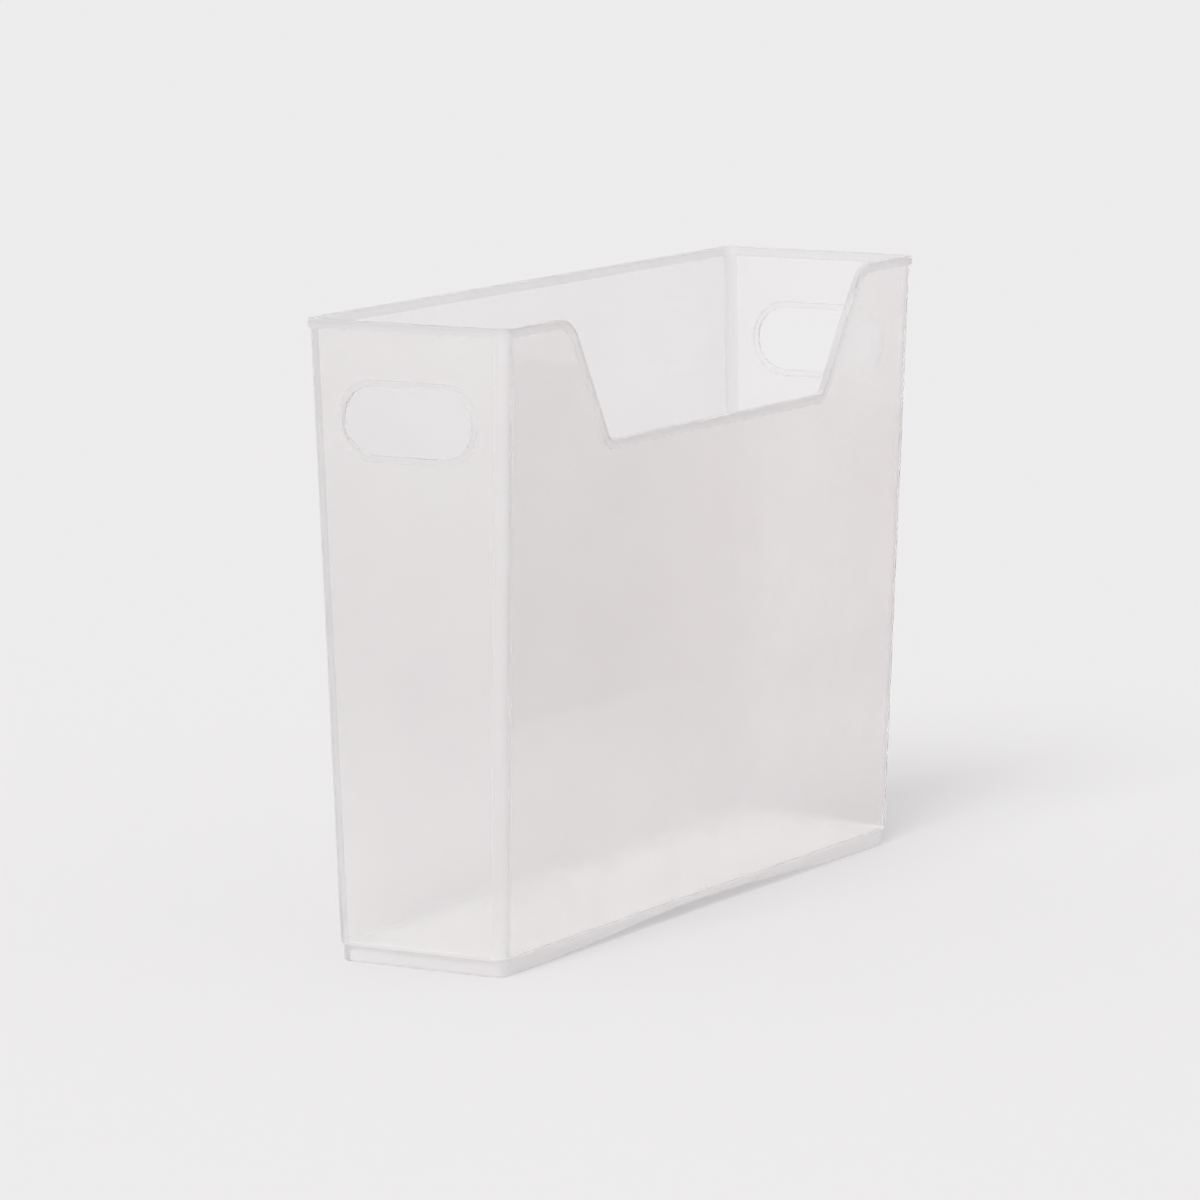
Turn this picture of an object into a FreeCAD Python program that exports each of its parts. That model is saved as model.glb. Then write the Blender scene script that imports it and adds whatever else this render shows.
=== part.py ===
import FreeCAD, Part
import math
import os

# Magazine file holder: a narrow open-topped bin in frosted clear plastic.
#
# The real object is one injection moulding. It is built here as the moulded
# features that a person would name, each a closed solid, meeting face to face:
#   rim      a flange 3.5 mm tall that stands 1 mm proud round the whole mouth,
#            and dips with the notch in the front wall
#   walls    two long walls, two end walls and four rounded corner posts, 2 mm
#            thick, all leaning inwards towards the floor for mould draft
#   grips    a raised rim round the hand hole in each end wall
#   base     a floor panel inside a foot ring that is stepped in under the
#            walls; the long sides of the ring are arched, the ends stand flat
#
# Frame: X along the length, Y across the width, Z up. The front is the notched
# wall at -Y. The origin is on the standing surface, under the middle.
# All sizes are in millimetres.

# Overall size
HEIGHT = 241.0
RIM_LENGTH = 324.0
RIM_WIDTH = 88.0

# Walls
WALL = 2.0
DRAFT = 0.029  # inward lean of every wall, as a slope
CORNER_RADIUS = 5.0  # outside radius of the upright corners

# Rim flange
FLANGE_HEIGHT = 3.5
FLANGE_PROUD = 1.0

# Notch in the front wall
SILL_HEIGHT = 192.5
SILL_HALF = 84.0
NOTCH_SLOPE = 0.63  # how far a side of the notch opens out per mm of rise
NOTCH_TOP_RADIUS = 16.0
NOTCH_SILL_RADIUS = 5.0
STUB_CUT = 125.0  # where the straight front rim ends and the notch side begins
SILL_CUT = 76.0  # where the sill ends and the notch side begins

# Hand holes in the end walls
HAND_HOLE_WIDTH = 55.0
HAND_HOLE_HEIGHT = 25.6
HAND_HOLE_LEVEL = 204.5
GRIP_BAND = 2.4
GRIP_PROUD = 0.8

# Base
FOOT_HEIGHT = 6.0
FOOT_WALL = 3.0
LEDGE = 1.1  # the foot ring stands in this far under the walls
FOOT_EDGE_RADIUS = 1.5
FLOOR_THICKNESS = 2.0
ARCH_HALF = 140.0
ARCH_RISE = 3.5

# Cutting tools run well past the object
FAR = 200.0
BELOW = -5.0
ABOVE = HEIGHT + 10


def vec(x, y, z):
    return FreeCAD.Vector(x, y, z)


def half_length(z):
    """Half the length over the outside of the end walls at a height."""
    return RIM_LENGTH / 2 - FLANGE_PROUD - DRAFT * (HEIGHT - z)


def half_width(z):
    """Half the width over the outside of the long walls at a height."""
    return RIM_WIDTH / 2 - FLANGE_PROUD - DRAFT * (HEIGHT - z)


def slab(x_low, x_high, y_low, y_high, z_low, z_high):
    return Part.makeBox(
        x_high - x_low, y_high - y_low, z_high - z_low, vec(x_low, y_low, z_low)
    )


def tapered_block(z_low, z_high, x_low, x_high, y_low, y_high):
    """A centred block whose half sides go from the low values to the high ones."""
    block = Part.makeWedge(
        -x_low, z_low, -y_low, -y_high, -x_high, x_low, z_high, y_low, y_high, x_high
    )
    block.rotate(vec(0, 0, 0), vec(1, 0, 0), 90)
    return block


def rising_edges(solid):
    return [e for e in solid.Edges if e.BoundBox.ZLength > 1]


def edges_at(solid, z):
    return [
        e
        for e in solid.Edges
        if abs(e.BoundBox.ZMin - z) < 1e-6 and abs(e.BoundBox.ZMax - z) < 1e-6
    ]


def drafted_block(z_low, z_high, grow, radius):
    """The bin's outline grown sideways, with its draft and its rounded corners."""
    block = tapered_block(
        z_low,
        z_high,
        half_length(z_low) + grow,
        half_length(z_high) + grow,
        half_width(z_low) + grow,
        half_width(z_high) + grow,
    )
    return block.makeFillet(radius, rising_edges(block))


def prism(points, direction):
    wire = Part.makePolygon(points + [points[0]])
    return Part.Face(wire).extrude(direction)


def notch_prism(grow):
    """The space above the front wall's edge, grown into the wall by a distance."""
    lean = math.hypot(1, NOTCH_SLOPE)
    low, high = SILL_HEIGHT - grow, HEIGHT - grow
    at_low = SILL_HALF + NOTCH_SLOPE * (low - SILL_HEIGHT) + grow * lean
    at_high = SILL_HALF + NOTCH_SLOPE * (high - SILL_HEIGHT) + grow * lean
    right = [(at_low, low), (at_high, high), (FAR, high), (FAR, ABOVE)]
    left = [(-x, z) for x, z in reversed(right)]
    front, middle = -FAR / 2, -RIM_WIDTH / 4
    block = prism(
        [vec(x, front, z) for x, z in left + right], vec(0, middle - front, 0)
    )

    def corner_edges(x, z):
        return [
            e
            for e in block.Edges
            if e.BoundBox.YLength > 1
            and abs(abs(e.CenterOfMass.x) - x) < 1e-3
            and abs(e.CenterOfMass.z - z) < 1e-3
        ]

    block = block.makeFillet(NOTCH_SILL_RADIUS + grow, corner_edges(at_low, low))
    return block.makeFillet(NOTCH_TOP_RADIUS - grow, corner_edges(at_high, high))


def stadium_prism(side, grow):
    """The hand hole through one end wall, grown all round by a distance."""
    radius = HAND_HOLE_HEIGHT / 2 + grow
    reach = HAND_HOLE_WIDTH / 2 - HAND_HOLE_HEIGHT / 2
    near, far = sorted((side * FAR / 2, side * FAR))
    low, high = HAND_HOLE_LEVEL - radius, HAND_HOLE_LEVEL + radius
    ends = [
        Part.makeCylinder(radius, far - near, vec(near, y, HAND_HOLE_LEVEL), vec(1, 0, 0))
        for y in (-reach, reach)
    ]
    middle = slab(near, far, -reach, reach, low, high)
    return middle.fuse(ends).removeSplitter()


def long_zone():
    """Everything between the ends of the flat long walls."""
    return tapered_block(
        BELOW,
        ABOVE,
        half_length(BELOW) - CORNER_RADIUS,
        half_length(ABOVE) - CORNER_RADIUS,
        FAR,
        FAR,
    )


def end_zone():
    """Everything between the edges of the flat end walls."""
    return tapered_block(
        BELOW,
        ABOVE,
        FAR,
        FAR,
        half_width(BELOW) - CORNER_RADIUS,
        half_width(ABOVE) - CORNER_RADIUS,
    )


def half_space(x_side, y_side):
    """One side of the object: left or right by x_side, front or back by y_side."""
    x_low, x_high = sorted((0, x_side * FAR)) if x_side else (-FAR, FAR)
    y_low, y_high = sorted((0, y_side * FAR)) if y_side else (-FAR, FAR)
    return slab(x_low, x_high, y_low, y_high, BELOW, ABOVE)


CORNERS = {
    "front_left": (-1, -1),
    "front_right": (1, -1),
    "back_left": (-1, 1),
    "back_right": (1, 1),
}


def split_ring(ring, flat, corner):
    """Splits a ring round the object into its four sides and four corners.

    flat and corner are the start of each node's name.
    """
    along, across = long_zone(), end_zone()
    parts = {
        flat.format("front"): ring.common(along).common(half_space(0, -1)),
        flat.format("back"): ring.common(along).common(half_space(0, 1)),
        flat.format("left_end"): ring.common(across).common(half_space(-1, 0)),
        flat.format("right_end"): ring.common(across).common(half_space(1, 0)),
    }
    rest = ring.cut(along).cut(across)
    for name, (x_side, y_side) in CORNERS.items():
        parts[corner.format(name)] = rest.common(half_space(x_side, y_side))
    return parts


def make_cavity():
    """The space inside the walls, open at the top."""
    return drafted_block(FOOT_HEIGHT, ABOVE, -WALL, CORNER_RADIUS - WALL)


def rim_zone():
    """Where the flange runs: the top of every wall, and the edge of the notch."""
    top = slab(-FAR, FAR, -FAR, FAR, HEIGHT - FLANGE_HEIGHT, ABOVE)
    return top.fuse(notch_prism(FLANGE_HEIGHT))


def make_rim(cavity):
    skin = drafted_block(
        FOOT_HEIGHT, HEIGHT, FLANGE_PROUD, CORNER_RADIUS + FLANGE_PROUD
    )
    ring = skin.cut(cavity).common(rim_zone()).cut(notch_prism(0))
    parts = split_ring(ring, "rim_{}", "rim_corner_{}")
    front = parts.pop("rim_front")
    cuts = {
        "rim_front_left": (-FAR, -STUB_CUT),
        "notch_rim_left": (-STUB_CUT, -SILL_CUT),
        "notch_rim_sill": (-SILL_CUT, SILL_CUT),
        "notch_rim_right": (SILL_CUT, STUB_CUT),
        "rim_front_right": (STUB_CUT, FAR),
    }
    for name, (x_low, x_high) in cuts.items():
        parts[name] = front.common(slab(x_low, x_high, -FAR, FAR, BELOW, ABOVE))
    return parts


def make_walls(cavity):
    body = drafted_block(FOOT_HEIGHT, HEIGHT, 0, CORNER_RADIUS)
    body = body.makeChamfer(LEDGE, edges_at(body, FOOT_HEIGHT))
    ring = body.cut(cavity).cut(rim_zone())
    for side in (-1, 1):
        ring = ring.cut(stadium_prism(side, GRIP_BAND))
    return split_ring(ring, "{}_wall", "corner_post_{}")


def make_grips(cavity):
    skin = drafted_block(FOOT_HEIGHT, HEIGHT, GRIP_PROUD, CORNER_RADIUS + GRIP_PROUD)
    shell = skin.cut(cavity)
    return {
        name: shell.common(stadium_prism(side, GRIP_BAND)).cut(stadium_prism(side, 0))
        for name, side in (("hand_hole_rim_left", -1), ("hand_hole_rim_right", 1))
    }


def foot_block(grow, radius, z_low, z_high):
    """The upright outline of the foot ring, grown sideways by a distance."""
    x = half_length(FOOT_HEIGHT) - LEDGE + grow
    y = half_width(FOOT_HEIGHT) - LEDGE + grow
    block = slab(-x, x, -y, y, z_low, z_high)
    return block.makeFillet(radius, rising_edges(block))


def arch_prism():
    """The gap under each long side, as a smooth curve that is level at both ends."""
    marks = [(-1.0, 0.0), (-0.5, 0.5), (0.0, 1.0), (0.5, 0.5), (1.0, 0.0)]
    curve = Part.BSplineCurve()
    curve.interpolate(
        Points=[vec(ARCH_HALF * x, -FAR, ARCH_RISE * z) for x, z in marks],
        InitialTangent=vec(1, 0, 0),
        FinalTangent=vec(1, 0, 0),
    )
    left, right = vec(-ARCH_HALF, -FAR, 0), vec(ARCH_HALF, -FAR, 0)
    below = vec(0, 0, BELOW)
    sides = [
        Part.makeLine(right, right + below),
        Part.makeLine(right + below, left + below),
        Part.makeLine(left + below, left),
    ]
    wire = Part.Wire([curve.toShape()] + sides)
    return Part.Face(wire).extrude(vec(0, 2 * FAR, 0))


def make_base():
    outer_radius = CORNER_RADIUS - LEDGE
    block = foot_block(0, outer_radius, 0, FOOT_HEIGHT)
    block = block.makeFillet(FOOT_EDGE_RADIUS, edges_at(block, 0))
    inner_radius = outer_radius - FOOT_WALL
    inside = foot_block(-FOOT_WALL, inner_radius, BELOW, ABOVE)
    ring = block.cut(inside).cut(arch_prism())
    rails = ring.common(slab(-ARCH_HALF, ARCH_HALF, -FAR, FAR, BELOW, ABOVE))
    floor_low = FOOT_HEIGHT - FLOOR_THICKNESS
    return {
        "floor_panel": foot_block(-FOOT_WALL, inner_radius, floor_low, FOOT_HEIGHT),
        "foot_left_end": ring.common(slab(-FAR, -ARCH_HALF, -FAR, FAR, BELOW, ABOVE)),
        "foot_right_end": ring.common(slab(ARCH_HALF, FAR, -FAR, FAR, BELOW, ABOVE)),
        "foot_front_rail": rails.common(half_space(0, -1)),
        "foot_back_rail": rails.common(half_space(0, 1)),
    }


def make_parts():
    cavity = make_cavity()
    parts = {}
    for group in (make_rim(cavity), make_walls(cavity), make_grips(cavity), make_base()):
        parts.update(group)
    return parts


def main():
    os.makedirs("parts", exist_ok=True)
    for name, shape in make_parts().items():
        solids = shape.Solids
        if len(solids) != 1 or not solids[0].isValid():
            raise RuntimeError(f"{name} is not one valid solid: {len(solids)}")
        solids[0].exportStep(f"parts/{name}.step")
        box = solids[0].BoundBox
        print(
            f"{name:26s} volume {solids[0].Volume:10.1f}  "
            f"x {box.XMin:8.2f} {box.XMax:8.2f}  y {box.YMin:7.2f} {box.YMax:7.2f}  "
            f"z {box.ZMin:7.2f} {box.ZMax:7.2f}"
        )


main()
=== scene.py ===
import math

import bpy
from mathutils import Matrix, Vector


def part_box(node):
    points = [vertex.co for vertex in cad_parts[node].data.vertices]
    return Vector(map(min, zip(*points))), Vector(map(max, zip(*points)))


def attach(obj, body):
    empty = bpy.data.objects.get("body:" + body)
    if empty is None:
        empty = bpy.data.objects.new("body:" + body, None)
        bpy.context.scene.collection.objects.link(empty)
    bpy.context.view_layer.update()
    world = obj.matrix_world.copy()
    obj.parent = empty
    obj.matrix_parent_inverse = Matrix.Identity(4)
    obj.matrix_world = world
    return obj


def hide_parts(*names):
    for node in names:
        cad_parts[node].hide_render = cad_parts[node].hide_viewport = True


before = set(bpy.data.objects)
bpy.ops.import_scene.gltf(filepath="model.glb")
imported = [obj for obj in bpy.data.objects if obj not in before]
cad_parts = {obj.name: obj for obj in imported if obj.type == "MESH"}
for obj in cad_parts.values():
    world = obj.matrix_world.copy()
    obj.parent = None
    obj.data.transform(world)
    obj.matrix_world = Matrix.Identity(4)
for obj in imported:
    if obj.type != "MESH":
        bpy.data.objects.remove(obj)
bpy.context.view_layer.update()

# Magazine file holder in frosted clear plastic.
#
# The real object is one moulding. Each CAD node is replaced here by a finer piece
# of the same wall: rounded edges, small fillets, the same joints. Every piece is a
# closed mesh. Where two pieces meet, both have a face of clear_joint, which lets
# light straight through, so that the moulding reads as one wall with no seams.
# The plastic has five skins: smooth on the outside of the walls and satin on their
# inside; frosted on the front corner posts, the hand hole rims, the lower half of the
# flange's face and the outside of the foot; a darker copy of the frosted one, which is
# painted shade, on the rest of the flange and on the back corner posts, painted greyer than
# the front ones; and milky on the floor, in its fillet, and on the inside and underside of the foot.

MM = 0.001
MICRON = 0.001 * MM

# ---------------------------------------------------------------- sizes, from the frame


def low(node):
    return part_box(node)[0]


def high(node):
    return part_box(node)[1]


HEIGHT = high("rim_back").z
FLANGE_FOOT = low("rim_back").z
FLANGE_HEIGHT = HEIGHT - FLANGE_FOOT
FOOT_HEIGHT = low("back_wall").z
WALL = high("back_wall").y - low("rim_back").y
DRAFT = (high("back_wall").y - low("back_wall").y - WALL) / (FLANGE_FOOT - FOOT_HEIGHT)
CORNER_RADIUS = high("right_end_wall").x - high("back_wall").x
BASE_HALF_LENGTH = high("right_end_wall").x - DRAFT * FLANGE_FOOT  # walls carried down to z = 0
BASE_HALF_WIDTH = high("back_wall").y - DRAFT * FLANGE_FOOT
FLANGE_PROUD = high("rim_back").y - BASE_HALF_WIDTH - DRAFT * HEIGHT
STUB_CUT = high("notch_rim_right").x
SILL_CUT = high("notch_rim_sill").x
SILL_HEIGHT = high("notch_rim_sill").z
GRIP_HALF_WIDTH = high("hand_hole_rim_right").y
GRIP_RADIUS = (high("hand_hole_rim_right").z - low("hand_hole_rim_right").z) / 2
GRIP_LEVEL = (high("hand_hole_rim_right").z + low("hand_hole_rim_right").z) / 2
FOOT_HALF_LENGTH = high("foot_right_end").x
FOOT_HALF_WIDTH = high("foot_back_rail").y
LEDGE = BASE_HALF_LENGTH + DRAFT * FOOT_HEIGHT - FOOT_HALF_LENGTH
FOOT_WALL = FOOT_HALF_LENGTH - high("floor_panel").x
FLOOR_UNDER = low("floor_panel").z
ARCH_HALF = high("foot_back_rail").x

# Sizes that no box gives
SILL_HALF = 84 * MM
NOTCH_SLOPE = 0.63  # how far a side of the notch moves out for each step up
NOTCH_TOP_RADIUS = 16 * MM
NOTCH_SILL_RADIUS = 5 * MM
GRIP_BAND = 2.4 * MM
GRIP_PROUD = 0.8 * MM
ARCH_RISE = 3.5 * MM
ARCH_SPANS = 28
FLOOR_FILLET = 1.8 * MM
LEDGE_RADIUS = 0.6 * MM
FOOT_EDGE_RADIUS = 1.5 * MM
FOOT_INNER_RADIUS = 0.3 * MM
FROST_UNDER_FOOT = 0.3 * MM  # how far the foot's frosted skin goes on past its rounded edge

# ---------------------------------------------------------------- outlines
#
# An outline is a list of segments (start, start normal, end, end normal, skin) in
# the plane of a section: first the way out of the wall, then up. It runs
# anticlockwise, so the material is on its left and the normals point right.

SMOOTH, JOINT, SATIN, FROSTED, SHADED_FROSTED, MILKY = range(6)  # a piece's skins are its material slots


def turned(v, angle):
    c, s = math.cos(angle), math.sin(angle)
    return (v[0] * c - v[1] * s, v[0] * s + v[1] * c)


def chain(*corners, skin=SMOOTH, steps=4):
    """Straight runs through corners (x, y, radius), the ones in between rounded."""
    corners = [(*c, 0.0) if len(c) == 2 else c for c in corners]
    segments = []
    start = corners[0][:2]
    for here, after, beyond in zip(corners, corners[1:], corners[2:] + [None]):
        run = Vector(after[:2]) - Vector(here[:2])
        way = run.normalized()
        normal = (way.y, -way.x)
        if beyond is None:
            segments.append((start, normal, after[:2], normal, skin))
            break
        turn = -way.angle_signed(Vector(beyond[:2]) - Vector(after[:2]))
        radius = after[2]
        reach = radius * math.tan(abs(turn) / 2)
        end = (after[0] - way.x * reach, after[1] - way.y * reach)
        segments.append((start, normal, end, normal, skin))
        bend = math.copysign(radius, turn)
        centre = (end[0] - bend * normal[0], end[1] - bend * normal[1])
        start = end
        if radius == 0:
            continue
        for step in range(steps):
            n0, n1 = turned(normal, turn * step / steps), turned(normal, turn * (step + 1) / steps)
            p1 = (centre[0] + bend * n1[0], centre[1] + bend * n1[1])
            segments.append((start, n0, p1, n1, skin))
            start = p1
    return segments


def floor_fillet(steps=4):
    """The hollow curve from a wall's inside down to the floor."""
    centre = (-WALL - FLOOR_FILLET, FOOT_HEIGHT + FLOOR_FILLET)
    spots = []
    for step in range(steps + 1):
        way = turned((1, 0), -math.pi / 2 * step / steps)
        spot = (centre[0] + way[0] * FLOOR_FILLET, centre[1] + way[1] * FLOOR_FILLET)
        spots.append((spot, (-way[0], -way[1])))
    return [(*a, *b, MILKY) for a, b in zip(spots, spots[1:])]


def lower_wall(top, capped=True, outside=SMOOTH, inside=SATIN):
    """A wall from the foot up to a level, with its ledge and the fillet on the floor."""
    outline = chain((0, top), (-WALL, top), skin=JOINT) if capped else []
    outline += chain((-WALL, top), (-WALL, FOOT_HEIGHT + FLOOR_FILLET), skin=inside)
    outline += floor_fillet()
    outline += chain((-WALL - FLOOR_FILLET, FOOT_HEIGHT), (-LEDGE, FOOT_HEIGHT), skin=JOINT)
    ledge_top = (0, FOOT_HEIGHT + LEDGE, LEDGE_RADIUS)
    outline += chain((-LEDGE, FOOT_HEIGHT), ledge_top, (0, top), skin=outside)
    return outline


def upper_wall(bottom, capped=True):
    """A wall from a level up to the flange."""
    outline = chain((-WALL, bottom), (0, bottom), skin=JOINT) if capped else []
    outline += chain((0, bottom), (0, FLANGE_FOOT))
    outline += chain((0, FLANGE_FOOT), (-WALL, FLANGE_FOOT), skin=JOINT)
    outline += chain((-WALL, FLANGE_FOOT), (-WALL, bottom), skin=SATIN)
    return outline


def lip(depth, proud, under, over, inside, skin):
    """A band along an edge of the wall, standing proud of it. Heights run down from the edge.

    under, over and inside are the radii of its edges. The lower half of its face is frosted.
    """
    middle = (proud, -depth / 2)
    return (
        chain((-WALL, -depth), (0, -depth), skin=JOINT)
        + chain((0, -depth), (proud, -depth, under), middle, skin=FROSTED)
        + chain(middle, (proud, 0, over), (-WALL, 0, inside), (-WALL, -depth), skin=skin)
    )


def foot_outline(lift):
    """The foot ring's section: outer face at 0, standing face lifted by the arch."""
    seat = FLOOR_FILLET + WALL - LEDGE  # the wall and its fillet stand on this much of the top
    inner_edge = (-FOOT_WALL, lift, FOOT_INNER_RADIUS)
    frost_start = (-FOOT_EDGE_RADIUS - FROST_UNDER_FOOT, lift)
    return (
        chain((0, FOOT_HEIGHT), (-seat, FOOT_HEIGHT), skin=JOINT)
        + chain((-seat, FOOT_HEIGHT), (-FOOT_WALL, FOOT_HEIGHT), skin=MILKY)
        + chain((-FOOT_WALL, FOOT_HEIGHT), (-FOOT_WALL, FLOOR_UNDER), skin=JOINT)
        + chain((-FOOT_WALL, FLOOR_UNDER), inner_edge, frost_start, skin=MILKY)
        + chain(frost_start, (0, lift, FOOT_EDGE_RADIUS), (0, FOOT_HEIGHT), skin=FROSTED)
    )


# The flange, but for the lower half of its face, takes the darker copy: painted shade.
RIM = lip(FLANGE_HEIGHT, FLANGE_PROUD, under=0.5 * MM, over=0.8 * MM, inside=0.6 * MM, skin=SHADED_FROSTED)
GRIP = lip(GRIP_BAND, GRIP_PROUD, under=0.5 * MM, over=0.7 * MM, inside=0.5 * MM, skin=FROSTED)

# ---------------------------------------------------------------- stations
#
# A station says where a section stands: point() and normal() take a section's own
# coordinates and directions into the object's frame.


class Station:
    """An upright section at a place on the outside of a wall. lean is how it moves as z rises."""

    def __init__(self, place, out, lean):
        self.place, self.out, self.lean = Vector(place), Vector(out), Vector(lean)

    def point(self, across, z):
        at = self.place + self.lean * z + self.out * across
        return Vector((at.x, at.y, z))

    def normal(self, across, up):
        slope = self.lean.dot(self.out)
        return Vector((*(self.out * across), up - slope * across)).normalized()


class EdgeStation:
    """A section square to an edge that runs in the plane of a wall.

    place and inward are in that plane: sideways, then z. inward points from the
    edge into the material.
    """

    def __init__(self, wall, place, inward):
        self.wall, self.place, self.inward = wall, Vector(place), Vector(inward)

    def point(self, across, up):
        at = self.place - self.inward * up
        return self.wall(at.x).point(across, at.y)

    def normal(self, across, up):
        out = self.wall(0).out
        side = Vector((abs(out.y), abs(out.x)))
        spread = side * (-self.inward.x * up)
        return Vector((*(out * across + spread), -self.inward.y * up - DRAFT * across)).normalized()


class RimStation:
    """A section that hangs from the top edge at an upright station."""

    def __init__(self, station):
        self.station = station

    def point(self, across, up):
        return self.station.point(across, HEIGHT + up)

    def normal(self, across, up):
        return self.station.normal(across, up)


CORNERS = {
    "front_left": (-1, -1, 180),
    "front_right": (1, -1, 270),
    "back_right": (1, 1, 0),
    "back_left": (-1, 1, 90),
}


def corner_station(corner, degrees, half_length=BASE_HALF_LENGTH, half_width=BASE_HALF_WIDTH,
                   radius=CORNER_RADIUS, draft=DRAFT):
    """A station on a rounded corner, facing a compass direction from +X."""
    x_side, y_side, _ = CORNERS[corner]
    out = Vector((math.cos(math.radians(degrees)), math.sin(math.radians(degrees))))
    centre = Vector((x_side * (half_length - radius), y_side * (half_width - radius)))
    return Station(centre + out * radius, out, (x_side * draft, y_side * draft))


def foot_station(corner, degrees):
    return corner_station(corner, degrees, FOOT_HALF_LENGTH, FOOT_HALF_WIDTH, CORNER_RADIUS - LEDGE, 0)


def bends(start, steps=10):
    """The directions that a quarter turn passes through."""
    return [start + 90 * step / steps for step in range(steps + 1)]


def long_wall(side):
    """Stations on a long wall at an x: side is -1 for the front, 1 for the back."""
    return lambda x: Station((x, side * BASE_HALF_WIDTH), (0, side), (0, side * DRAFT))


def end_wall(side):
    """Stations on an end wall at a y: side is -1 for the left, 1 for the right."""
    return lambda y: Station((side * BASE_HALF_LENGTH, y), (side, 0), (side * DRAFT, 0))


# ---------------------------------------------------------------- pieces


class Piece:
    """Collects a closed mesh, with a normal for each corner of each face."""

    def __init__(self, name, node):
        self.name, self.node = name, node
        self.index, self.points = {}, []
        self.faces, self.normals, self.skins = [], [], []

    def vertex(self, point):
        """The number of a point. Points in the same micron are one."""
        key = tuple(round(c / MICRON) for c in point)
        if key not in self.index:
            self.index[key] = len(self.points)
            self.points.append(point)
        return self.index[key]

    def face(self, corners, skin):
        """Adds a face from (point, normal) pairs in either direction round."""
        kept = []
        for point, normal in corners:
            v = self.vertex(point)
            if v not in [k[0] for k in kept]:
                kept.append((v, normal))
        if len(kept) < 3:
            return
        area = Vector((0, 0, 0))
        origin = self.points[kept[0][0]]
        for (a, _), (b, _) in zip(kept[1:], kept[2:]):
            area += (self.points[a] - origin).cross(self.points[b] - origin)
        if area.dot(sum((n for _, n in kept), Vector((0, 0, 0)))) < 0:
            kept.reverse()
            area = -area
        self.faces.append([v for v, _ in kept])
        self.normals += [area.normalized() if skin == JOINT else n for _, n in kept]
        self.skins.append(skin)

    def sweep(self, stations, outlines):
        """Joins the sections at neighbouring stations. outlines has one for each station."""
        for a, b, first, second in zip(stations, stations[1:], outlines, outlines[1:]):
            for (p0, n0, p1, n1, skin), (q0, m0, q1, m1, _) in zip(first, second):
                self.face(
                    [
                        (a.point(*p0), a.normal(*n0)),
                        (a.point(*p1), a.normal(*n1)),
                        (b.point(*q1), b.normal(*m1)),
                        (b.point(*q0), b.normal(*m0)),
                    ],
                    skin,
                )

    def cap(self, station, outline, inside):
        """Closes a section's end with a joint face. inside is a point that it faces away from."""
        spots = [station.point(*segment[0]) for segment in outline]
        ring = [p for i, p in enumerate(spots) if (p - spots[i - 1]).length > MICRON]
        area = Vector((0, 0, 0))
        for a, b in zip(ring[1:], ring[2:]):
            area += (a - ring[0]).cross(b - ring[0])
        away = area.normalized()
        if away.dot(ring[0] - inside) < 0:
            away = -away
        self.face([(p, away) for p in ring], JOINT)

    def capped_sweep(self, stations, outlines):
        self.sweep(stations, outlines)
        first, second = stations[0], stations[-1]
        self.cap(first, outlines[0], stations[1].point(*outlines[1][0][0]))
        self.cap(second, outlines[-1], stations[-2].point(*outlines[-2][0][0]))

    def build(self):
        """Makes the object, which stands for its CAD node."""
        mesh = bpy.data.meshes.new(self.name)
        mesh.from_pydata(self.points, [], self.faces)
        for skin in sorted(SKINS):
            mesh.materials.append(SKINS[skin])
        for polygon, skin in zip(mesh.polygons, self.skins):
            polygon.material_index = skin
            polygon.use_smooth = True
        mesh.normals_split_custom_set(self.normals)
        piece = bpy.data.objects.new(self.name, mesh)
        bpy.context.scene.collection.objects.link(piece)
        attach(piece, "root")
        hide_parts(self.node)


def simple_piece(name, node, stations, outline):
    piece = Piece(name, node)
    piece.capped_sweep(stations, [outline] * len(stations))
    piece.build()


# ---------------------------------------------------------------- material

PLASTIC_IOR = 1.49
PALE = (0.97, 0.962, 0.96)
CLOUDED = (0.955, 0.942, 0.942)
CLOUDS, GRAIN, WAVES = (22, 2), (90, 4), (60, 3)  # noise: scale and detail
NOISE_RANGE = (0.3, 0.7)  # nearly all of the noise lies in it
WAVE_STRENGTH = 0.12
WAVE_HEIGHT = 0.02 * MM
TRAPPED_DEPTH = 5.5  # light that has bounced more often than this is let out
FREED_TINT = (0.96, 0.955, 0.955)
SHADOW_TINT = (0.70, 0.69, 0.69)  # what each face of the plastic leaves of the lamp's light


def new_material(name):
    material = bpy.data.materials.new(name)
    material.use_nodes = True
    tree = material.node_tree
    tree.nodes.clear()
    output = tree.nodes.new("ShaderNodeOutputMaterial")
    return material, tree, output


def make_joint_material():
    """Faces inside the moulding, where there is no surface to see."""
    material, tree, output = new_material("clear_joint")
    clear = tree.nodes.new("ShaderNodeBsdfTransparent")
    tree.links.new(clear.outputs[0], output.inputs["Surface"])
    return material


def soft_noise(tree, place, kind, least, most):
    """Noise over the object, between two values."""
    noise = tree.nodes.new("ShaderNodeTexNoise")
    noise.inputs["Scale"].default_value, noise.inputs["Detail"].default_value = kind
    reach = tree.nodes.new("ShaderNodeMapRange")
    reach.inputs["From Min"].default_value, reach.inputs["From Max"].default_value = NOISE_RANGE
    reach.inputs["To Min"].default_value = least
    reach.inputs["To Max"].default_value = most
    tree.links.new(place.outputs["Object"], noise.inputs["Vector"])
    tree.links.new(noise.outputs["Fac"], reach.inputs["Value"])
    return reach.outputs["Result"]


def colour_between(tree, factor, first, second):
    """Mixes two colours by a factor."""
    mix = tree.nodes.new("ShaderNodeMix")
    mix.data_type = "RGBA"
    sockets = {socket.identifier: socket for socket in (*mix.inputs, *mix.outputs)}
    sockets["A_Color"].default_value = (*first, 1)
    sockets["B_Color"].default_value = (*second, 1)
    tree.links.new(factor, sockets["Factor_Float"])
    return sockets["Result_Color"]


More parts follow.
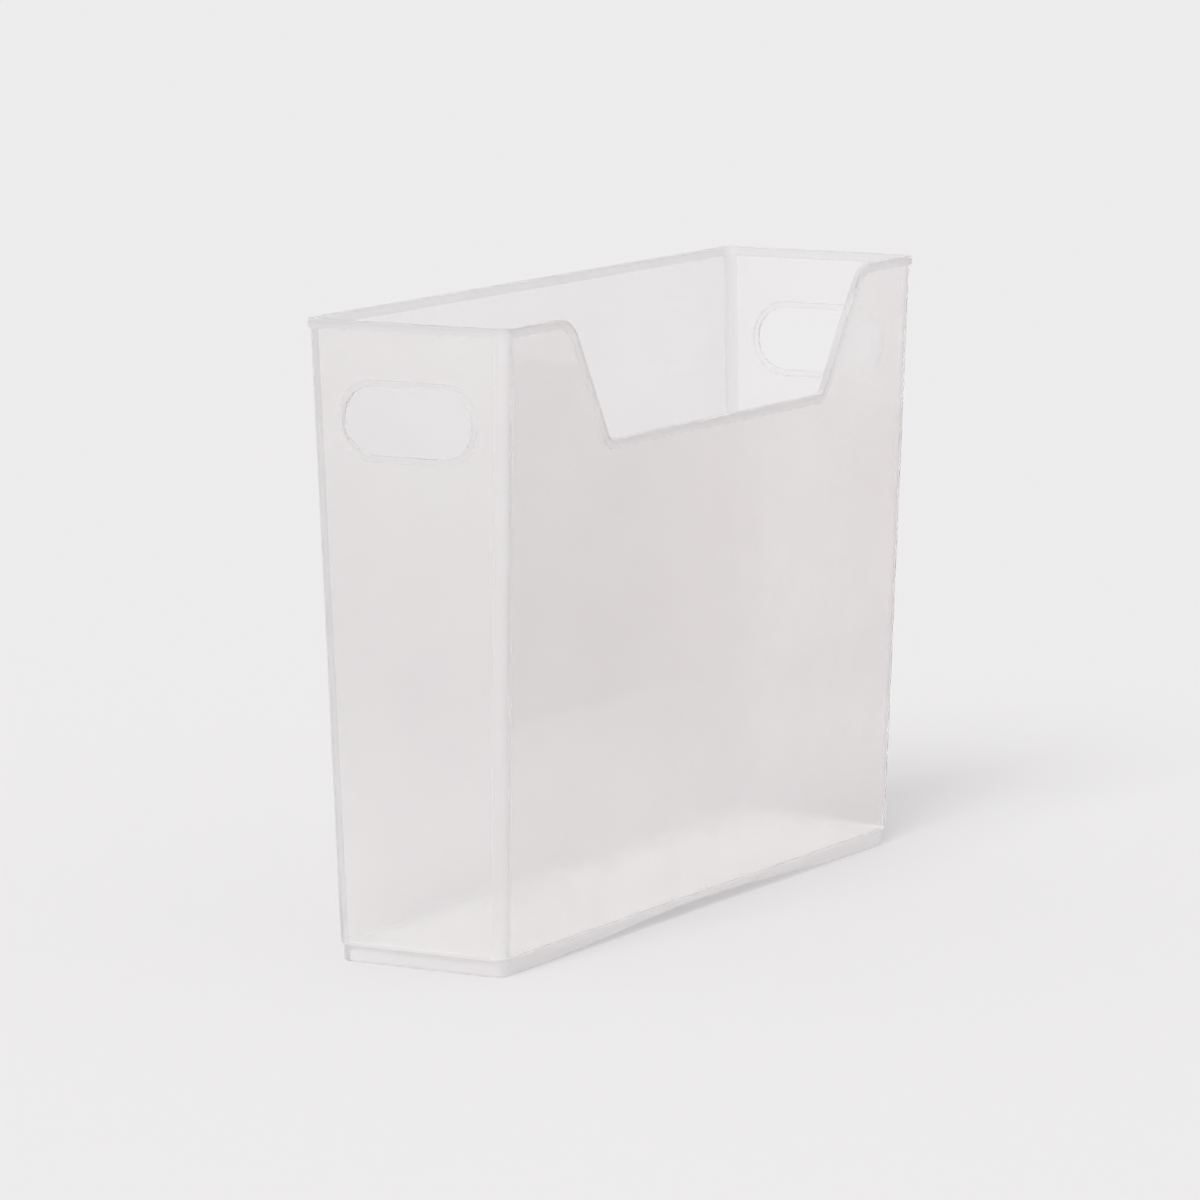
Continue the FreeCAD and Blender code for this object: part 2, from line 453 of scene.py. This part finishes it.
def highest(tree, first, second):
    node = tree.nodes.new("ShaderNodeMath")
    node.operation = "MAXIMUM"
    tree.links.new(first, node.inputs[0])
    tree.links.new(second, node.inputs[1])
    return node.outputs[0]


def see_through(tree, shader, factor, colour):
    """Puts a clear shader in place of another by a factor."""
    clear = tree.nodes.new("ShaderNodeBsdfTransparent")
    clear.inputs["Color"].default_value = (*colour, 1)
    mix = tree.nodes.new("ShaderNodeMixShader")
    tree.links.new(factor, mix.inputs[0])
    tree.links.new(shader, mix.inputs[1])
    tree.links.new(clear.outputs[0], mix.inputs[2])
    return mix.outputs[0]


def make_plastic(name, clear_share, smoothest, roughest, shade=1.0):
    """Clear plastic with some milk in it, and the faint waves of a moulded skin.

    Light that has bounced about inside the plastic for long is let out, as real
    milky plastic scatters it out, and light on a diffuse bounce passes through.
    """
    material, tree, output = new_material(name)
    nodes, links = tree.nodes, tree.links
    place = nodes.new("ShaderNodeTexCoord")
    body = nodes.new("ShaderNodeBsdfPrincipled")
    body.inputs["IOR"].default_value = PLASTIC_IOR
    body.inputs["Transmission Weight"].default_value = clear_share
    # shade below one darkens the colours: painted shade
    pale, clouded = [[c * shade for c in colour] for colour in (PALE, CLOUDED)]
    clouds = soft_noise(tree, place, CLOUDS, 0, 1)
    links.new(colour_between(tree, clouds, pale, clouded), body.inputs["Base Color"])
    links.new(soft_noise(tree, place, GRAIN, smoothest, roughest), body.inputs["Roughness"])
    waves = nodes.new("ShaderNodeBump")
    waves.inputs["Strength"].default_value = WAVE_STRENGTH
    waves.inputs["Distance"].default_value = WAVE_HEIGHT
    links.new(soft_noise(tree, place, WAVES, 0, 1), waves.inputs["Height"])
    links.new(waves.outputs["Normal"], body.inputs["Normal"])
    path = nodes.new("ShaderNodeLightPath")
    trapped = nodes.new("ShaderNodeMath")
    trapped.operation = "GREATER_THAN"
    trapped.inputs[1].default_value = TRAPPED_DEPTH
    links.new(path.outputs["Ray Depth"], trapped.inputs[0])
    freed = highest(tree, path.outputs["Is Diffuse Ray"], trapped.outputs[0])
    shader = see_through(tree, body.outputs[0], freed, FREED_TINT)
    shader = see_through(tree, shader, path.outputs["Is Shadow Ray"], SHADOW_TINT)
    links.new(shader, output.inputs["Surface"])
    return material


# Each skin: its name, its clear share, and the least and the most of its roughness.
# The clear share is what isn't milk, and shade darkens the colour of the plastic, as painted shade.
SKINS = {
    SMOOTH: make_plastic("smooth_clear_plastic", 0.93, 0.02, 0.035),
    JOINT: make_joint_material(),
    SATIN: make_plastic("satin_clear_plastic", 0.93, 0.18, 0.24),
    FROSTED: make_plastic("frosted_clear_plastic", 0.925, 0.29, 0.34),
    # Painted shade: a darker copy of the frosted plastic, for the flange's grey band and the back
    # posts.
    SHADED_FROSTED: make_plastic("painted_shade_clear_plastic", 0.93, 0.29, 0.34, shade=0.945),
    MILKY: make_plastic("milky_clear_plastic", 0.60, 0.45, 0.55),
}

# ---------------------------------------------------------------- rim


def make_rim():
    for corner, (_, _, start) in CORNERS.items():
        stations = [RimStation(corner_station(corner, d)) for d in bends(start)]
        simple_piece(f"rim_bend_{corner}", f"rim_corner_{corner}", stations, RIM)
    straights = {
        "rim_back": (corner_station("back_right", 90), corner_station("back_left", 90)),
        "rim_left_end": (corner_station("back_left", 180), corner_station("front_left", 180)),
        "rim_right_end": (corner_station("front_right", 0), corner_station("back_right", 0)),
        "rim_front_left": (corner_station("front_left", 270), long_wall(-1)(-STUB_CUT)),
        "rim_front_right": (long_wall(-1)(STUB_CUT), corner_station("front_right", 270)),
    }
    for node, ends in straights.items():
        simple_piece(f"{node}_flange", node, [RimStation(s) for s in ends], RIM)


def notch_edge():
    """The edge of the right half of the notch: (place, inward) from the sill to the stub."""
    path = chain(
        (SILL_CUT, SILL_HEIGHT),
        (SILL_HALF, SILL_HEIGHT, NOTCH_SILL_RADIUS),
        (SILL_HALF + NOTCH_SLOPE * (HEIGHT - SILL_HEIGHT), HEIGHT, NOTCH_TOP_RADIUS),
        (STUB_CUT, HEIGHT),
        steps=10,
    )
    return [path[0][:2]] + [segment[2:4] for segment in path]


def mirrored(place, inward):
    return (-place[0], place[1]), (-inward[0], inward[1])


def make_notch_rim():
    front = long_wall(-1)
    edge = notch_edge()
    right = [EdgeStation(front, *spot) for spot in edge]
    left = [EdgeStation(front, *mirrored(*spot)) for spot in edge]
    simple_piece("notch_side_flange_right", "notch_rim_right", right, RIM)
    simple_piece("notch_side_flange_left", "notch_rim_left", left, RIM)
    simple_piece("notch_sill_flange", "notch_rim_sill", [left[0], right[0]], RIM)


# ---------------------------------------------------------------- walls


def make_walls():
    for corner, (_, y_side, start) in CORNERS.items():
        stations = [corner_station(corner, d) for d in bends(start)]
        # The back posts take the darker copy, painted shade that makes them greyer than the front
        # ones.
        skin = FROSTED if y_side < 0 else SHADED_FROSTED
        outline = lower_wall(FLANGE_FOOT, outside=skin, inside=skin)
        simple_piece(f"post_{corner}", f"corner_post_{corner}", stations, outline)
    ends = [corner_station("back_right", 90), corner_station("back_left", 90)]
    simple_piece("back_panel", "back_wall", ends, lower_wall(FLANGE_FOOT))


def make_front_wall():
    """The wall under the notch, as upright strips that end at the notch's flange."""
    front = long_wall(-1)
    far_edge = [Vector(place) + Vector(inward) * FLANGE_HEIGHT for place, inward in notch_edge()]
    right = [(front(p.x), p.y) for p in far_edge]
    right.append((corner_station("front_right", 270), FLANGE_FOOT))
    left = [(front(-p.x), p.y) for p in far_edge]
    left.append((corner_station("front_left", 270), FLANGE_FOOT))
    marks = left[::-1] + right
    piece = Piece("front_panel", "front_wall")
    piece.capped_sweep([s for s, _ in marks], [lower_wall(top) for _, top in marks])
    piece.build()


def grip_edge(steps=16):
    """The edge of a hand hole, all the way round: (place, inward)."""
    reach = GRIP_HALF_WIDTH - GRIP_RADIUS
    radius = GRIP_RADIUS - GRIP_BAND
    spots = []
    for side, start in ((1, -90), (-1, 90)):
        for step in range(steps + 1):
            angle = math.radians(start + 180 * step / steps)
            way = (math.cos(angle), math.sin(angle))
            spots.append(((side * reach + radius * way[0], GRIP_LEVEL + radius * way[1]), way))
    return spots


def make_end_wall(side, name, node, corners):
    """An end wall with its hand hole, as upright strips above and below the hole."""
    wall = end_wall(side)
    far_edge = [Vector(place) + Vector(inward) * GRIP_BAND for place, inward in grip_edge()]
    below = sorted((p.x, p.y) for p in far_edge if p.y < GRIP_LEVEL + MICRON)
    piece = Piece(name, node)
    hole = [wall(y) for y, _ in below]
    piece.sweep(hole, [lower_wall(z) for _, z in below])
    piece.sweep(hole, [upper_wall(2 * GRIP_LEVEL - z) for _, z in below])
    halves = lower_wall(GRIP_LEVEL, capped=False), upper_wall(GRIP_LEVEL, capped=False)
    facing = 0 if side > 0 else 180
    for corner, near in zip(corners, (hole[0], hole[-1])):
        edge = corner_station(corner, facing)
        for outline in halves:
            piece.sweep([edge, near], [outline] * 2)
        piece.cap(edge, halves[0] + halves[1], near.point(0, GRIP_LEVEL))
    piece.build()


def make_grip(side, name, node):
    stations = [EdgeStation(end_wall(side), *spot) for spot in grip_edge()]
    piece = Piece(name, node)
    ring = stations + stations[:1]
    piece.sweep(ring, [GRIP] * len(ring))
    piece.build()


# ---------------------------------------------------------------- base


def arch(x):
    """How far a long side of the foot stands clear of the table."""
    return ARCH_RISE * (1 + math.cos(math.pi * x / ARCH_HALF)) / 2


def foot_side(side):
    return lambda x: Station((x, side * FOOT_HALF_WIDTH), (0, side), (0, 0))


def make_foot():
    flat = foot_outline(0)
    front, back = foot_side(-1), foot_side(1)
    left = [back(-ARCH_HALF)] + [foot_station("back_left", d) for d in bends(90)]
    left += [foot_station("front_left", d) for d in bends(180)] + [front(-ARCH_HALF)]
    right = [front(ARCH_HALF)] + [foot_station("front_right", d) for d in bends(270)]
    right += [foot_station("back_right", d) for d in bends(0)] + [back(ARCH_HALF)]
    simple_piece("foot_end_left", "foot_left_end", left, flat)
    simple_piece("foot_end_right", "foot_right_end", right, flat)
    make_foot_rail(front, "foot_arch_front", "foot_front_rail")
    make_foot_rail(back, "foot_arch_back", "foot_back_rail")


def make_foot_rail(side, name, node):
    """A long side of the foot, arched over the table."""
    marks = [ARCH_HALF * (2 * i / ARCH_SPANS - 1) for i in range(ARCH_SPANS + 1)]
    piece = Piece(name, node)
    piece.capped_sweep([side(x) for x in marks], [foot_outline(arch(x)) for x in marks])
    piece.build()


def make_floor():
    """The floor inside the foot ring: its sides are all joint."""
    ring = []
    for corner, (_, _, start) in CORNERS.items():
        for d in bends(start, steps=6):
            ring.append(foot_station(corner, d).point(-FOOT_WALL, 0))
    piece = Piece("floor_plate", "floor_panel")
    top = [Vector((p.x, p.y, FOOT_HEIGHT)) for p in ring]
    under = [Vector((p.x, p.y, FLOOR_UNDER)) for p in ring]
    piece.face([(p, Vector((0, 0, 1))) for p in top], MILKY)
    piece.face([(p, Vector((0, 0, -1))) for p in under], MILKY)
    for i in range(len(ring)):
        corners = top[i - 1], top[i], under[i], under[i - 1]
        out = (corners[1] - corners[0]).cross(Vector((0, 0, 1))).normalized()
        piece.face([(p, out) for p in corners], JOINT)
    piece.build()


make_rim()
make_notch_rim()
make_walls()
make_front_wall()
make_end_wall(-1, "end_panel_left", "left_end_wall", ("front_left", "back_left"))
make_end_wall(1, "end_panel_right", "right_end_wall", ("front_right", "back_right"))
make_grip(-1, "grip_ring_left", "hand_hole_rim_left")
make_grip(1, "grip_ring_right", "hand_hole_rim_right")
make_foot()
make_floor()

# ---------------------------------------------------------------- camera

VIEW_AZIMUTH = math.radians(-60.102)
VIEW_ELEVATION = math.radians(8.527)
VIEW_ROLL = math.radians(-0.151)
VIEW_DISTANCE = 2.4692
LENS = 190.9
AIM = Vector((0, 0, HEIGHT / 2))
AIM_ASIDE, AIM_ABOVE = 9.57 * MM, 2.14 * MM  # where AIM stands in the view, from its centre


def make_camera():
    back = Vector((
        math.sin(VIEW_AZIMUTH) * math.cos(VIEW_ELEVATION),
        -math.cos(VIEW_AZIMUTH) * math.cos(VIEW_ELEVATION),
        math.sin(VIEW_ELEVATION),
    ))
    level = Vector((math.cos(VIEW_AZIMUTH), math.sin(VIEW_AZIMUTH), 0))
    upright = back.cross(level)
    right = level * math.cos(VIEW_ROLL) + upright * math.sin(VIEW_ROLL)
    up = upright * math.cos(VIEW_ROLL) - level * math.sin(VIEW_ROLL)
    data = bpy.data.cameras.new("camera")
    data.lens = LENS
    data.clip_start, data.clip_end = 0.05, 100
    camera = bpy.data.objects.new("camera", data)
    bpy.context.scene.collection.objects.link(camera)
    matrix = camera.matrix_world.to_3x3()
    for row in range(3):
        matrix[row] = (right[row], up[row], back[row])
    camera.matrix_world = matrix.to_4x4()
    camera.location = AIM - right * AIM_ASIDE - up * AIM_ABOVE + back * VIEW_DISTANCE
    bpy.context.scene.camera = camera


make_camera()

# ---------------------------------------------------------------- studio

FLOOR_SIZE = 40
SKY = (0.87, 0.87, 0.875)
FLOOR_COLOUR = (0.627, 0.618, 0.623)
SUN_STRENGTH = 2.17
SUN_WIDTH = math.radians(30)
SUN_FROM = Vector((-1, -0.15, 1))  # the way from the object to the lamp
PAINTED_REFLECTION_LIFT = 1 * MM
TABLE_FRONT_EDGE, TABLE_LEFT_EDGE = -0.27, -0.52


def link_plane(name, x_low, x_high, y_low, y_high, z):
    corners = [(x_low, y_low, z), (x_high, y_low, z), (x_high, y_high, z), (x_low, y_high, z)]
    mesh = bpy.data.meshes.new(name)
    mesh.from_pydata(corners, [], [(0, 1, 2, 3)])
    plane = bpy.data.objects.new(name, mesh)
    bpy.context.scene.collection.objects.link(plane)
    return plane


def make_floor_material():
    material, tree, output = new_material("studio_floor")
    shade = tree.nodes.new("ShaderNodeBsdfDiffuse")
    shade.inputs["Color"].default_value = (*FLOOR_COLOUR, 1)
    tree.links.new(shade.outputs[0], output.inputs["Surface"])
    return material


def make_painted_reflection_material(name, along, near, near_colour, far, far_colour):
    """A painted reflection: it glows only for light that has been mirrored once; the rest passes
    through to the floor.

    The colour goes from near to far with the distance in the direction along.
    """
    material, tree, output = new_material(name)
    nodes, links = tree.nodes, tree.links
    path = nodes.new("ShaderNodeLightPath")
    once = nodes.new("ShaderNodeMath")
    once.operation = "COMPARE"
    once.inputs[1].default_value = 1
    once.inputs[2].default_value = 0.5
    clear = nodes.new("ShaderNodeBsdfTransparent")
    # the glow of the painted reflection
    painted_glow = nodes.new("ShaderNodeEmission")
    place = nodes.new("ShaderNodeNewGeometry")
    distance = nodes.new("ShaderNodeVectorMath")
    distance.operation = "DOT_PRODUCT"
    distance.inputs[1].default_value = (*along, 0)
    reach = nodes.new("ShaderNodeMapRange")
    reach.inputs["From Min"].default_value = near
    reach.inputs["From Max"].default_value = far
    links.new(place.outputs["Position"], distance.inputs[0])
    links.new(distance.outputs["Value"], reach.inputs["Value"])
    colour = colour_between(tree, reach.outputs["Result"], near_colour, far_colour)
    links.new(colour, painted_glow.inputs["Color"])
    mix = nodes.new("ShaderNodeMixShader")
    links.new(path.outputs["Glossy Depth"], once.inputs[0])
    links.new(once.outputs[0], mix.inputs[0])
    links.new(clear.outputs[0], mix.inputs[1])
    links.new(painted_glow.outputs[0], mix.inputs[2])
    links.new(mix.outputs[0], output.inputs["Surface"])
    material.cycles.emission_sampling = "NONE"
    return material


# Painted reflections: sheets that glow only in the walls' mirror and paint there a table
# and a darker room beyond its edges. For each plane: low and high x, low and high y; then
# the direction of its gradient, and the distance and the colour where it starts and where it ends.
PAINTED_REFLECTIONS = {
    "painted_reflection_room_front": (
        (0.2, 1.25, -3, TABLE_FRONT_EDGE),
        ((1, 1.773), -0.13, (0.42, 0.33, 0.33), -0.04, (0.62, 0.51, 0.505)),
    ),
    "painted_reflection_room_far": (
        (1.25, 4, -3, TABLE_FRONT_EDGE),
        ((1, 0), 1.25, (0.72, 0.68, 0.68), 4, (0.72, 0.68, 0.68)),
    ),
    "painted_reflection_table_front": (
        (-0.16, 3, TABLE_FRONT_EDGE, -0.04),
        # The table is painted brighter than white by the object: painted light in the low front wall's
        # reflection.
        ((-1.1, 1), 0, (1.05, 1.0, 1.0), -0.75, (0.50, 0.44, 0.44)),
    ),
    "painted_reflection_room_left": (
        (-3, TABLE_LEFT_EDGE, 0.05, 3),
        ((1, 0), TABLE_LEFT_EDGE, (0.20, 0.20, 0.21), -1.2, (0.46, 0.45, 0.44)),
    ),
    "painted_reflection_table_left": (
        (TABLE_LEFT_EDGE, -0.16, -0.05, 3),
        ((1, 0), -0.16, (0.95, 0.94, 0.94), TABLE_LEFT_EDGE, (0.25, 0.24, 0.25)),
    ),
}


def make_studio():
    half = FLOOR_SIZE / 2
    floor = link_plane("studio_floor", -half, half, -half, half, 0)
    floor.data.materials.append(make_floor_material())
    for name, (box, gradient) in PAINTED_REFLECTIONS.items():
        plane = link_plane(name, *box, PAINTED_REFLECTION_LIFT)
        # each plane is a painted reflection, hidden from the camera, the diffuse light and the shadows
        plane.data.materials.append(make_painted_reflection_material(name, *gradient))
        plane.visible_camera = False
        plane.visible_diffuse = False
        plane.visible_shadow = False
    world = bpy.data.worlds.new("studio")
    world.use_nodes = True
    world.cycles.sampling_method = "NONE"
    bpy.context.scene.world = world
    sky = world.node_tree.nodes["Background"]
    sky.inputs["Color"].default_value = (*SKY, 1)
    lamp = bpy.data.lights.new("key", "SUN")
    lamp.energy = SUN_STRENGTH
    lamp.angle = SUN_WIDTH
    key = bpy.data.objects.new("key", lamp)
    bpy.context.scene.collection.objects.link(key)
    key.rotation_euler = SUN_FROM.to_track_quat("Z", "Y").to_euler()
    key.visible_camera = False
    key.visible_glossy = False
    key.visible_transmission = False


def let_light_through():
    """Enough bounces for light that crosses many of the clear walls' faces."""
    cycles = bpy.context.scene.cycles
    cycles.max_bounces = 32
    cycles.transparent_max_bounces = 32
    cycles.glossy_bounces = 24
    cycles.transmission_bounces = 24


make_studio()
let_light_through()
bpy.context.scene.view_settings.view_transform = "Standard"
